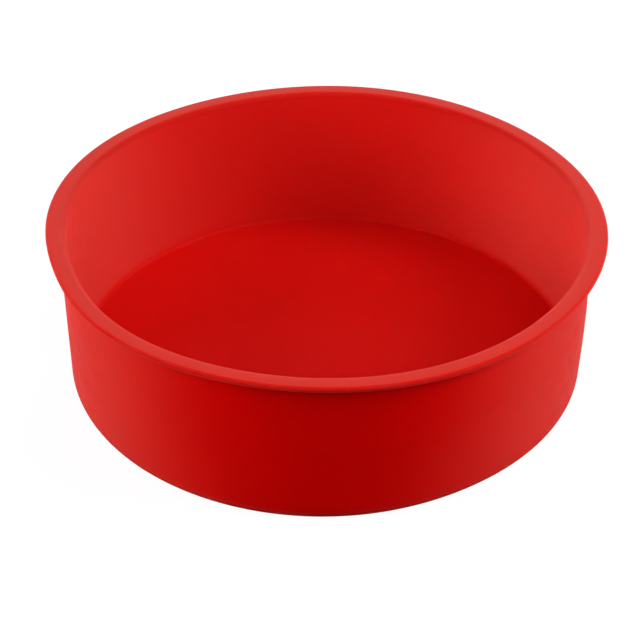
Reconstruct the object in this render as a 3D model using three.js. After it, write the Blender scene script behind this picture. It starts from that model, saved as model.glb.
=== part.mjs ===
// A round cake mould, moulded in one shot from red silicone: a flat floor, a soft lower corner,
// a thin wall with a little draft, and a narrow rim turned outwards. Each zone of the moulding
// is a closed solid of its own, and neighbouring zones meet face to face on a shared cut.
import * as THREE from "three";

// Driving dimensions, in millimetres
const mouthDiameter = 201; // inside the wall, where its line reaches the top of the rim
const overallHeight = 66;
const wallThickness = 1.8;
const floorThickness = 2.4;
const wallDraft = 0.4; // how far the wall line leans outwards over the full height
const flangeOverhang = 5.7; // rim edge beyond the outside of the wall
const flangeThickness = 2.2;
const flangeRise = 2; // degrees, upwards towards the rim edge
const mouthRoundRadius = 2.2; // wall inside to flange top
const neckRadius = 1.5; // wall outside to flange underside
const innerCornerRadius = 1.5; // wall inside to floor
const outerCornerRadius = 6; // wall outside to underside
const cornerLand = 1.5; // plain strip beside the corner's curve, up to each cut
const rimLand = 2; // plain wall under the rim's curve, down to the cut

// Facets round the axis, and half the facets along each quarter round
const roundSegments = 96;
const arcDivisions = 2;

const siliconeRed = 0xc61210;
const siliconeRoughness = 0.5;

const draft = Math.atan(wallDraft / overallHeight);
const rise = THREE.MathUtils.degToRad(flangeRise);
const quarterTurn = Math.PI / 2;

// The wall lines: radius of the inside and the outside of the wall at a height
function insideAt(height) {
  return mouthDiameter / 2 - (overallHeight - height) * Math.tan(draft);
}

function outsideAt(height) {
  return insideAt(height) + wallThickness;
}

// The rim edge is fully round, and the flange's two faces are tangent to it
const edgeRadius = flangeThickness / 2;
const edgeCentre = new THREE.Vector2(
  mouthDiameter / 2 + wallThickness + flangeOverhang - edgeRadius,
  overallHeight - edgeRadius,
);

function flangeMiddleAt(radius) {
  return edgeCentre.y - (edgeCentre.x - radius) * Math.tan(rise);
}

function flangeTopAt(radius) {
  return flangeMiddleAt(radius) + edgeRadius / Math.cos(rise);
}

function flangeUndersideAt(radius) {
  return flangeMiddleAt(radius) - edgeRadius / Math.cos(rise);
}

// Centre of the round that joins a level face at the bottom to a wall line
function cornerCentre(wallAt, level, radius) {
  const height = level + radius;
  return new THREE.Vector2(wallAt(height) - radius / Math.cos(draft), height);
}

// Centre of the round that joins a wall line to a face of the flange
function rimCentre(wallAt, flangeAt, radius) {
  const lean = Math.tan(draft);
  const climb = Math.tan(rise);
  const axisHeight = flangeAt(0) - radius / Math.cos(rise);
  const reach = wallAt(0) + axisHeight * lean + radius / Math.cos(draft);
  const centreRadius = reach / (1 - lean * climb);
  return new THREE.Vector2(centreRadius, axisHeight + centreRadius * climb);
}

const innerCorner = cornerCentre(insideAt, floorThickness, innerCornerRadius);
const outerCorner = cornerCentre(outsideAt, 0, outerCornerRadius);
const mouthRound = rimCentre(insideAt, flangeTopAt, mouthRoundRadius);
const neck = rimCentre(outsideAt, flangeUndersideAt, neckRadius);

// The cuts between the zones, each on plain material clear of the curves
const floorCut = Math.min(innerCorner.x, outerCorner.x) - cornerLand;
const cornerCut = Math.max(innerCorner.y, outerCorner.y) + cornerLand;
const rimCut = Math.min(mouthRound.y, neck.y) - rimLand;

// Directions from a round's centre to where it meets the wall or the flange
const lowerWallAngle = -draft;
const upperWallAngle = Math.PI - draft;
const flangeAngle = quarterTurn + rise;

// Flat disc that the mould stands on and the cake rests on
function floorPanelOutline() {
  return new THREE.Path()
    .moveTo(0, 0)
    .lineTo(floorCut, 0)
    .lineTo(floorCut, floorThickness)
    .lineTo(0, floorThickness);
}

// Ring that turns the floor up into the wall, rounder outside than inside
function baseCornerOutline() {
  return new THREE.Path()
    .moveTo(floorCut, floorThickness)
    .lineTo(floorCut, 0)
    .absarc(outerCorner.x, outerCorner.y, outerCornerRadius, -quarterTurn, lowerWallAngle, false)
    .lineTo(outsideAt(cornerCut), cornerCut)
    .lineTo(insideAt(cornerCut), cornerCut)
    .absarc(innerCorner.x, innerCorner.y, innerCornerRadius, lowerWallAngle, -quarterTurn, true)
    .lineTo(floorCut, floorThickness);
}

// Plain ring of the thin wall between the corner and the rim
function sideWallOutline() {
  return new THREE.Path()
    .moveTo(outsideAt(cornerCut), cornerCut)
    .lineTo(outsideAt(rimCut), rimCut)
    .lineTo(insideAt(rimCut), rimCut)
    .lineTo(insideAt(cornerCut), cornerCut)
    .lineTo(outsideAt(cornerCut), cornerCut);
}

// Out-turned rim: neck, flange, round edge, and the round at the mouth
function rimFlangeOutline() {
  return new THREE.Path()
    .moveTo(insideAt(rimCut), rimCut)
    .lineTo(outsideAt(rimCut), rimCut)
    .absarc(neck.x, neck.y, neckRadius, upperWallAngle, flangeAngle, true)
    .absarc(edgeCentre.x, edgeCentre.y, edgeRadius, flangeAngle - Math.PI, 0, false)
    .absarc(edgeCentre.x, edgeCentre.y, edgeRadius, 0, flangeAngle, false)
    .absarc(mouthRound.x, mouthRound.y, mouthRoundRadius, flangeAngle, upperWallAngle, false)
    .lineTo(insideAt(rimCut), rimCut);
}

// Turns an outline of radius and height about the upright axis
const axisUp = new THREE.Matrix4().makeBasis(
  new THREE.Vector3(1, 0, 0),
  new THREE.Vector3(0, 0, 1),
  new THREE.Vector3(0, -1, 0),
);

function zone(name, outline) {
  const geometry = new THREE.LatheGeometry(outline.getPoints(arcDivisions), roundSegments);
  geometry.applyMatrix4(axisUp);
  const material = new THREE.MeshStandardMaterial({
    color: siliconeRed,
    roughness: siliconeRoughness,
    metalness: 0,
  });
  const mesh = new THREE.Mesh(geometry, material);
  mesh.name = name;
  return mesh;
}

const mould = new THREE.Group();
mould.add(
  zone("floor_panel", floorPanelOutline()),
  zone("base_corner", baseCornerOutline()),
  zone("side_wall", sideWallOutline()),
  zone("rim_flange", rimFlangeOutline()),
);

export default mould;
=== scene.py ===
import math

import bmesh
import bpy
from mathutils import Matrix, Vector


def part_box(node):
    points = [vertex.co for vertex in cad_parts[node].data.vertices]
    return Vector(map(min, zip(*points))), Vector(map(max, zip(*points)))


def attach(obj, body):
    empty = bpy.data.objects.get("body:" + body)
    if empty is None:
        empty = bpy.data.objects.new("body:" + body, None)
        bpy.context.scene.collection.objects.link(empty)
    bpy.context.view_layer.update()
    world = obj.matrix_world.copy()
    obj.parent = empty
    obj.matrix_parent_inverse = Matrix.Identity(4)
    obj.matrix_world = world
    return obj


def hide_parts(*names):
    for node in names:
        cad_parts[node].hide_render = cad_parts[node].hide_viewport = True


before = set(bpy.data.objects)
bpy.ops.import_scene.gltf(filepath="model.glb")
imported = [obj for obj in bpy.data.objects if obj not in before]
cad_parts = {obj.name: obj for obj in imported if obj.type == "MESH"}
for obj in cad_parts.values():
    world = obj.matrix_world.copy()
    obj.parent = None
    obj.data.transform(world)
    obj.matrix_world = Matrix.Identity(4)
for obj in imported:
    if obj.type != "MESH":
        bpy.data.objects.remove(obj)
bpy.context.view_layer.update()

# The moulding is one shot of red silicone, pressed between two halves of a steel tool, so its floor,
# corner, wall and rim are a single seamless skin about 2 mm thick. It is soft, so it lies a little out of
# round. The main radii and heights come from the solids, and the thicknesses and rounds are the tool's.
rim_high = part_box("rim_flange")[1]
wall_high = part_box("side_wall")[1]
floor_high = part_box("floor_panel")[1]
corner_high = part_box("base_corner")[1]

WALL_THICKNESS = 0.0018
FLANGE_THICKNESS = 0.0022
FLANGE_RISE = math.radians(2.0)
OUTER_CORNER_RADIUS = 0.0060
INNER_CORNER_RADIUS = 0.0015
NECK_RADIUS = 0.0015
MOUTH_ROUND_RADIUS = 0.0022

ARC_STEP = math.radians(7.5)
STRAIGHT_STEP = 0.004
ROUND_STEPS = 288
SEAM_MERGE = 0.000001

wall_lean = (wall_high.x - corner_high.x) / (wall_high.z - corner_high.z)
edge_radius = FLANGE_THICKNESS / 2
edge_centre = Vector((rim_high.x - edge_radius, rim_high.z - edge_radius))


def outside_at(height):
    """Radius of the wall's outer face at a height."""
    return corner_high.x + (height - corner_high.z) * wall_lean


def wall_meets_flange(side, offset):
    """Where a line beside the wall's outer face meets one at an offset above the middle of the flange."""
    run = math.tan(FLANGE_RISE)
    start = edge_centre.y + offset / math.cos(FLANGE_RISE) - edge_centre.x * run
    radius = (outside_at(start) + side) / (1 - wall_lean * run)
    return Vector((radius, start + radius * run))


def straight(start, end):
    """Evenly spaced points from start up to, but not including, end."""
    count = max(1, round((end - start).length / STRAIGHT_STEP))
    return [start.lerp(end, k / count) for k in range(count)]


def arc(centre, radius, first, last):
    """Points of an arc of the outline, both ends included."""
    count = math.ceil(abs(last - first) / ARC_STEP)
    angles = [first + (last - first) * k / count for k in range(count + 1)]
    return [centre + radius * Vector((math.cos(a), math.sin(a))) for a in angles]


def rounded(before, corner, after, radius):
    """The arc that rounds one corner of the outline."""
    back = (before - corner).normalized()
    ahead = (after - corner).normalized()
    half = back.angle(ahead) / 2
    centre = corner + (back + ahead).normalized() * radius / math.sin(half)
    spoke = corner + back * radius / math.tan(half) - centre
    first = math.atan2(spoke.y, spoke.x)
    turn = math.copysign(math.pi - 2 * half, -back.cross(ahead))
    return arc(centre, radius, first, first + turn)


def mould_outline():
    """Radius and height round the skin, from the middle of the underside to the middle of the floor."""
    floor_top = floor_high.z
    under_middle = Vector((0, 0))
    heel = Vector((outside_at(0), 0))
    neck = wall_meets_flange(0, -edge_radius)
    mouth = wall_meets_flange(-WALL_THICKNESS, edge_radius)
    toe = Vector((outside_at(floor_top) - WALL_THICKNESS, floor_top))
    floor_middle = Vector((0, floor_top))
    tangent = math.pi / 2 + FLANGE_RISE
    bends = [
        rounded(under_middle, heel, neck, OUTER_CORNER_RADIUS),
        rounded(heel, neck, edge_centre - Vector((0, edge_radius)), NECK_RADIUS),
        arc(edge_centre, edge_radius, tangent - math.pi, tangent),
        rounded(edge_centre + Vector((0, edge_radius)), mouth, toe, MOUTH_ROUND_RADIUS),
        rounded(mouth, toe, floor_middle, INNER_CORNER_RADIUS),
    ]
    points = straight(under_middle, bends[0][0])
    for bend, following in zip(bends, bends[1:] + [[floor_middle]]):
        points += bend[:-1] + straight(bend[-1], following[0])
    return points + [floor_middle]


# How the soft skin lies: a ripple of the rim, and places where it is pressed in, or stands out where the
# depth is under nought. Each has a depth, a turn and a spread in degrees, a height and a reach up and down.
RIM_WAVE = 0.0003
RIM_WAVE_COUNT = 5
RIM_WAVE_TURN = math.radians(5)
PRESSES = {
    "rim, left front": (0.0016, -160, 17, rim_high.z, 0.016),
    "rim, left back": (-0.00055, 155, 24, rim_high.z, 0.016),
    "wall, right": (-0.0007, -10, 20, 0.030, 0.036),
    "heel, right front": (0.0011, -58, 24, 0, 0.040),
}


def hump(turn, middle, spread):
    """One at the middle of a press, fading to nought round the mould."""
    gap = math.remainder(turn - middle, math.tau)
    return math.exp(-((gap / spread) ** 2))


def fade(distance, reach):
    """One at no distance, and smoothly down to nought at the reach."""
    rest = 1 - min(max(distance / reach, 0), 1)
    return rest * rest * (3 - 2 * rest)


def pressed_in(turn, rise):
    """How far towards the upright axis the skin is pressed at one turn and height."""
    return sum(
        depth * hump(turn, math.radians(middle), math.radians(spread)) * fade(abs(rise - height), reach)
        for depth, middle, spread, height, reach in PRESSES.values()
    )


def lie_out_of_round(shape):
    """Moves each point of the round skin in or out to where the soft one lies."""
    for vert in shape.verts:
        turn = math.atan2(vert.co.y, vert.co.x)
        wave = math.cos(RIM_WAVE_COUNT * (turn - RIM_WAVE_TURN))
        ripple = RIM_WAVE * wave * vert.co.z / rim_high.z
        growth = 1 + (ripple - pressed_in(turn, vert.co.z)) / rim_high.x
        vert.co.x *= growth
        vert.co.y *= growth


def revolve(outline):
    """Turns the outline about the upright axis into one closed skin."""
    shape = bmesh.new()
    line = [shape.verts.new((p.x, 0, p.y)) for p in outline]
    edges = [shape.edges.new(pair) for pair in zip(line, line[1:])]
    bmesh.ops.spin(
        shape,
        geom=line + edges,
        cent=(0, 0, 0),
        axis=(0, 0, 1),
        angle=math.tau,
        steps=ROUND_STEPS,
        use_merge=True,
    )
    bmesh.ops.remove_doubles(shape, verts=shape.verts, dist=SEAM_MERGE)
    bmesh.ops.recalc_face_normals(shape, faces=shape.faces)
    lie_out_of_round(shape)
    mesh = bpy.data.meshes.new("silicone_mould")
    shape.to_mesh(mesh)
    shape.free()
    mesh.shade_smooth()
    return mesh


# Pigment with painted light and shade: a paler red inside stands for the brightly lit inner walls, a purer
# red outside for the shaded front, and a darker red on the lip is painted shade where the light falls on its
# top; the lip starts and is full this far below the top.
INSIDE_LIT_RED = (0.58, 0.0085, 0.0068, 1)
OUTSIDE_SHADED_RED = (0.58, 0.0008, 0.0006, 1)
LIP_SHADED_RED = (0.495, 0.0088, 0.0060, 1)
LIP_SHADE_START = 0.0034
LIP_SHADE_FULL = 0.0012

# Noise: faint clouds in the pigment, patches in the satin, and grain that the tool leaves in the skin.
NOISE_SPAN = (0.3, 0.7)
CLOUD_SCALE = 45
CLOUD_DETAIL = 4
CLOUD_DEPTH = 0.03
PATCH_SCALE = 160
PATCH_DETAIL = 3
SMOOTHEST = 0.44
ROUGHEST = 0.58
GRAIN_SCALE = 2200
GRAIN_DETAIL = 2
GRAIN_STRENGTH = 0.25
GRAIN_HEIGHT = 0.00004

# Sheen: a weak bloom at low angles, which starts later outside than inside and fades out at the floor.
SHEEN_MOST = 0.047
SHEEN_SLANT = (0.12, 0.51)
SHEEN_SHIFT = 0.13
SHEEN_TINT = (0.35, 1, 0.78, 1)
SHEEN_ROUGHNESS = 1.0
FLOOR_FADE = 0.004

# Gloss and depth: the face hardly shines, and light goes into the silicone first, red further than the rest.
SILICONE_GLOSS = 0.008
LIGHT_SHARE = 1.0
LIGHT_DEPTH = 0.002
LIGHT_REACH = (1, 0.02, 0.02)

# A mix node holds its colours at these places, after its plain numbers and vectors.
MIX_FIRST = 6
MIX_SECOND = 7
MIX_RESULT = 2


def noise(tree, place, scale, detail):
    """Noise from nought to one, fixed in the silicone."""
    texture = tree.nodes.new("ShaderNodeTexNoise")
    texture.inputs["Scale"].default_value = scale
    texture.inputs["Detail"].default_value = detail
    tree.links.new(place, texture.inputs["Vector"])
    return texture.outputs["Fac"]


def ranged(tree, value, low, high, first, last):
    """Maps a value from low to high smoothly on to first to last."""
    span = tree.nodes.new("ShaderNodeMapRange")
    span.interpolation_type = "SMOOTHSTEP"
    span.inputs["From Min"].default_value = low
    span.inputs["From Max"].default_value = high
    span.inputs["To Min"].default_value = first
    span.inputs["To Max"].default_value = last
    tree.links.new(value, span.inputs["Value"])
    return span.outputs["Result"]


def blended(tree, factor, first, second):
    """A colour between two, each a fixed colour or another node's output."""
    mix = tree.nodes.new("ShaderNodeMix")
    mix.data_type = "RGBA"
    tree.links.new(factor, mix.inputs["Factor"])
    for colour, socket in ((first, mix.inputs[MIX_FIRST]), (second, mix.inputs[MIX_SECOND])):
        if isinstance(colour, tuple):
            socket.default_value = colour
        else:
            tree.links.new(colour, socket)
    return mix.outputs[MIX_RESULT]


def calculated(tree, operation, *values):
    """One step of arithmetic on plain numbers and other nodes' outputs."""
    step = tree.nodes.new("ShaderNodeMath")
    step.operation = operation
    for value, socket in zip(values, step.inputs):
        if isinstance(value, float):
            socket.default_value = value
        else:
            tree.links.new(value, socket)
    return step.outputs["Value"]


def outwards(tree, surface):
    """One where the surface looks away from the upright axis, and nought where it looks towards it."""
    level = tree.nodes.new("ShaderNodeVectorMath")
    level.operation = "MULTIPLY"
    level.inputs[1].default_value = (1, 1, 0)
    tree.links.new(surface.outputs["Object"], level.inputs[0])
    along = tree.nodes.new("ShaderNodeVectorMath")
    along.operation = "DOT_PRODUCT"
    tree.links.new(level.outputs["Vector"], along.inputs[0])
    tree.links.new(surface.outputs["Normal"], along.inputs[1])
    return ranged(tree, along.outputs["Value"], -wall_high.x / 2, wall_high.x / 2, 0, 1)


def pigment_and_painted_light(tree, place, height, outside):
    # The lip's darker red is painted shade on the top that catches the most light.
    lip_shade = ranged(tree, height, rim_high.z - LIP_SHADE_START, rim_high.z - LIP_SHADE_FULL, 0, 1)
    # The paler red inside and purer red outside are painted light and shade, and the clouds are the
    # pigment's own.
    red = blended(tree, lip_shade, blended(tree, outside, INSIDE_LIT_RED, OUTSIDE_SHADED_RED), LIP_SHADED_RED)
    clouds = noise(tree, place, CLOUD_SCALE, CLOUD_DETAIL)
    cloudy = tree.nodes.new("ShaderNodeVectorMath")
    cloudy.operation = "SCALE"
    tree.links.new(red, cloudy.inputs[0])
    tree.links.new(ranged(tree, clouds, *NOISE_SPAN, 1 - CLOUD_DEPTH, 1), cloudy.inputs["Scale"])
    return cloudy.outputs["Vector"]


def satin(tree, place):
    patches = noise(tree, place, PATCH_SCALE, PATCH_DETAIL)
    return ranged(tree, patches, *NOISE_SPAN, SMOOTHEST, ROUGHEST)


def grain(tree, place):
    bump = tree.nodes.new("ShaderNodeBump")
    bump.inputs["Strength"].default_value = GRAIN_STRENGTH
    bump.inputs["Distance"].default_value = GRAIN_HEIGHT
    tree.links.new(noise(tree, place, GRAIN_SCALE, GRAIN_DETAIL), bump.inputs["Height"])
    return bump.outputs["Normal"]


def bloom(tree, height, outside):
    facing = tree.nodes.new("ShaderNodeLayerWeight").outputs["Facing"]
    slant = calculated(tree, "MULTIPLY_ADD", outside, -SHEEN_SHIFT, facing)
    above_floor = ranged(tree, height, floor_high.z, floor_high.z + FLOOR_FADE, 0, 1)
    return calculated(tree, "MULTIPLY", above_floor, ranged(tree, slant, *SHEEN_SLANT, 0, SHEEN_MOST))


def silicone():
    """Satin silicone, coloured all through, with painted light and shade in its red, a fine grain and a
    faint bloom at low angles.
    """
    material = bpy.data.materials.new("red_silicone")
    material.use_nodes = True
    tree = material.node_tree
    shader = tree.nodes["Principled BSDF"]
    shader.inputs["Specular IOR Level"].default_value = SILICONE_GLOSS
    shader.inputs["Sheen Roughness"].default_value = SHEEN_ROUGHNESS
    shader.inputs["Sheen Tint"].default_value = SHEEN_TINT
    shader.inputs["Subsurface Weight"].default_value = LIGHT_SHARE
    shader.inputs["Subsurface Radius"].default_value = LIGHT_REACH
    shader.inputs["Subsurface Scale"].default_value = LIGHT_DEPTH
    surface = tree.nodes.new("ShaderNodeTexCoord")
    place = surface.outputs["Object"]
    split = tree.nodes.new("ShaderNodeSeparateXYZ")
    tree.links.new(place, split.inputs["Vector"])
    height = split.outputs["Z"]
    outside = outwards(tree, surface)
    tree.links.new(pigment_and_painted_light(tree, place, height, outside), shader.inputs["Base Color"])
    tree.links.new(satin(tree, place), shader.inputs["Roughness"])
    tree.links.new(grain(tree, place), shader.inputs["Normal"])
    tree.links.new(bloom(tree, height, outside), shader.inputs["Sheen Weight"])
    return material


mould = bpy.data.objects.new("silicone_mould", revolve(mould_outline()))
bpy.context.scene.collection.objects.link(mould)
mould.data.materials.append(silicone())
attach(mould, "root")
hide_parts("floor_panel", "base_corner", "side_wall", "rim_flange")

# The table is a plain white sheet, a hair below the mould's underside so that the two faces stay apart.
# The camera, gloss and glass see it as white with the mould's soft shadow on it, while the light that it
# throws back up the wall stays weak.
TABLE_REACH = 6.0
TABLE_WHITE = 0.93
TABLE_SHADE = (0.08, 0.08, 0.08, 1)
TABLE_GAP = 0.0001


def table_top():
    shape = bmesh.new()
    bmesh.ops.create_grid(shape, x_segments=1, y_segments=1, size=TABLE_REACH)
    mesh = bpy.data.meshes.new("table")
    shape.to_mesh(mesh)
    shape.free()
    return mesh


def seen_directly(tree):
    """One for what the camera, gloss or glass looks at, and nought for light that bounces off a surface."""
    path = tree.nodes.new("ShaderNodeLightPath")
    eye_or_gloss = calculated(tree, "MAXIMUM", path.outputs["Is Camera Ray"], path.outputs["Is Glossy Ray"])
    return calculated(tree, "MAXIMUM", eye_or_gloss, path.outputs["Is Transmission Ray"])


def table_finish():
    """A dull grey sheet that takes the shadow, and a white glow for what looks straight at it."""
    material = bpy.data.materials.new("white_table")
    material.use_nodes = True
    tree = material.node_tree
    tree.nodes.clear()
    sheet = tree.nodes.new("ShaderNodeBsdfDiffuse")
    sheet.inputs["Color"].default_value = TABLE_SHADE
    glow = tree.nodes.new("ShaderNodeEmission")
    strength = calculated(tree, "MULTIPLY", seen_directly(tree), TABLE_WHITE)
    tree.links.new(strength, glow.inputs["Strength"])
    both = tree.nodes.new("ShaderNodeAddShader")
    tree.links.new(sheet.outputs["BSDF"], both.inputs[0])
    tree.links.new(glow.outputs["Emission"], both.inputs[1])
    output = tree.nodes.new("ShaderNodeOutputMaterial")
    tree.links.new(both.outputs["Shader"], output.inputs["Surface"])
    return material


table = bpy.data.objects.new("table", table_top())
bpy.context.scene.collection.objects.link(table)
table.data.materials.append(table_finish())
table.location.z = -TABLE_GAP

# Six square softboxes stand in a ring about the mould: two on its right, one on its left, one high up,
# one behind and a weak one above the camera. Their light is white, and the camera does not see them.
LAMP_DISTANCE = 1.0
LAMP_TARGET = Vector((0, 0, rim_high.z / 2))
SOFTBOX_WIDTH = 0.5


def softbox(name, azimuth, elevation, power):
    """Azimuth is counted from the camera's side round to the right, and power is in watts."""
    light = bpy.data.lights.new(name, "AREA")
    light.size = SOFTBOX_WIDTH
    light.energy = power
    lamp = bpy.data.objects.new(name, light)
    bpy.context.scene.collection.objects.link(lamp)
    turn = math.radians(azimuth)
    climb = math.radians(elevation)
    level = math.cos(climb)
    outward = Vector((math.sin(turn) * level, -math.cos(turn) * level, math.sin(climb)))
    lamp.location = LAMP_TARGET + outward * LAMP_DISTANCE
    lamp.rotation_euler = outward.to_track_quat("Z", "Y").to_euler()
    lamp.visible_camera = False


softbox("right_softbox", azimuth=75, elevation=35, power=7.0)
softbox("low_right_softbox", azimuth=75, elevation=8, power=3.7)
softbox("left_softbox", azimuth=285, elevation=22, power=9.9)
softbox("top_softbox", azimuth=120, elevation=65, power=2.6)
softbox("back_softbox", azimuth=180, elevation=25, power=4.0)
softbox("front_fill", azimuth=0, elevation=35, power=3.2)

# The camera stands in front of the mould and looks down into it with a long lens. Its place, tilt and lens
# were fitted together, so that the rim, the floor edge and the base fall where the photograph has them.
CAMERA_DISTANCE = 0.702
CAMERA_ELEVATION = math.radians(36.695)
CAMERA_AIM = Vector((-0.00204, 0.00838, 0.01124))
CAMERA_ROLL = math.radians(-0.0727)
CAMERA_LENS = 96.91
CAMERA_SENSOR = 36.0

camera = bpy.data.objects.new("camera", bpy.data.cameras.new("camera"))
bpy.context.scene.collection.objects.link(camera)
camera.data.sensor_width = CAMERA_SENSOR
camera.data.lens = CAMERA_LENS
camera.location = (
    0,
    -CAMERA_DISTANCE * math.cos(CAMERA_ELEVATION),
    CAMERA_DISTANCE * math.sin(CAMERA_ELEVATION),
)
sight = CAMERA_AIM - camera.location
roll = Matrix.Rotation(CAMERA_ROLL, 3, "Z")
camera.rotation_euler = (sight.to_track_quat("-Z", "Y").to_matrix() @ roll).to_euler()
bpy.context.scene.camera = camera
bpy.context.scene.view_settings.view_transform = "Standard"

# The room beyond the table is plain white to the eye. It gives the mould only a weak, even light of its
# own, which keeps the sides that no softbox reaches from going black.
ROOM_WHITE = (1, 1, 1, 1)
ROOM_LIGHT = 0.03

world = bpy.data.worlds.new("studio")
bpy.context.scene.world = world
world.use_nodes = True
room = world.node_tree
background = room.nodes["Background"]
background.inputs["Color"].default_value = ROOM_WHITE
room_strength = calculated(room, "MAXIMUM", seen_directly(room), ROOM_LIGHT)
room.links.new(room_strength, background.inputs["Strength"])
